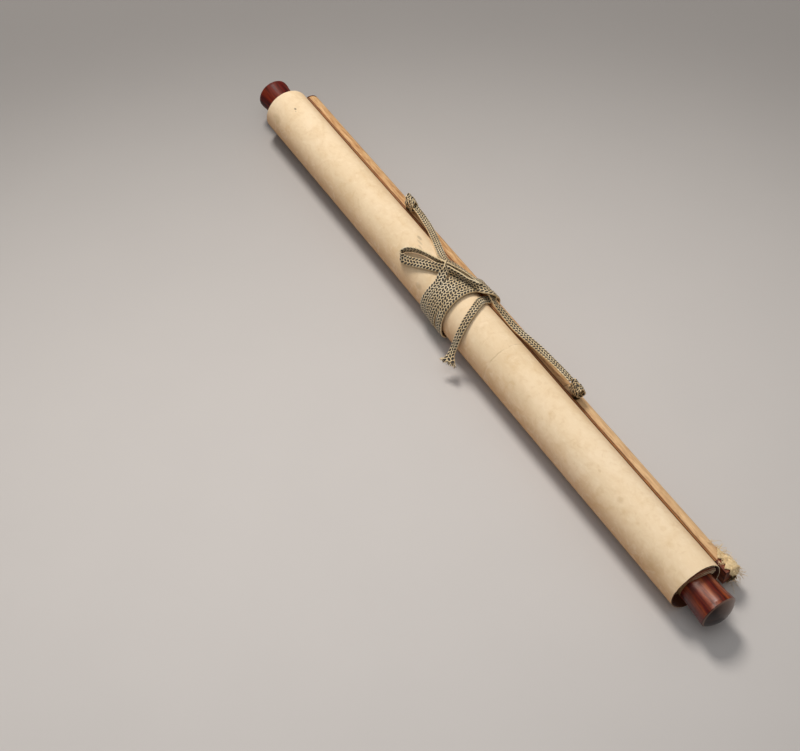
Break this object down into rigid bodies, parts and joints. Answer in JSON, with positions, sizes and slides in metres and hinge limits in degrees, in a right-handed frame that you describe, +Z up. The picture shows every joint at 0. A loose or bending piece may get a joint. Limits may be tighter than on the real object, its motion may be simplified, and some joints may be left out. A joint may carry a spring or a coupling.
{
  "type": "hanging scroll",
  "caption": "Rolled hanging scroll with turned roller knobs and top stave, tied with its flat braided winding cord in a bow.",
  "frame": {"origin": "middle of the flat spot under the roll, where it rests", "axes": "+X along the roll to its right-hand end, +Y from the roll to the top stave, +Z up"},
  "size_m": [0.6302, 0.0664, 0.0478],
  "materials": {
    "backing_paper": "soft cream backing paper over silk, browned by age, faint stains",
    "stave_wood": "bare dark wood where the sleeve is torn off",
    "rod_wood": "plain softwood",
    "lacquered_wood": "red-brown lacquer over turned wood, worn, dark end face",
    "eyelet_metal": "dull, aged",
    "flat_cord": "flat braid, cream with short near-black flecks in rows"
  },
  "bodies": {
    "root": {"scroll_sheet": "backing_paper", "top_stave": "stave_wood", "roller_rod": "rod_wood", "left_knob": "lacquered_wood", "right_knob": "lacquered_wood", "left_eyelet": "eyelet_metal", "right_eyelet": "eyelet_metal", "left_eyelet_washer": "eyelet_metal", "right_eyelet_washer": "eyelet_metal", "left_cord_knot": "flat_cord", "right_cord_knot": "flat_cord", "hanging_cord": "flat_cord", "winding_cord_turns": "flat_cord", "winding_cord_bow": "flat_cord"}
  },
  "joints": []
}
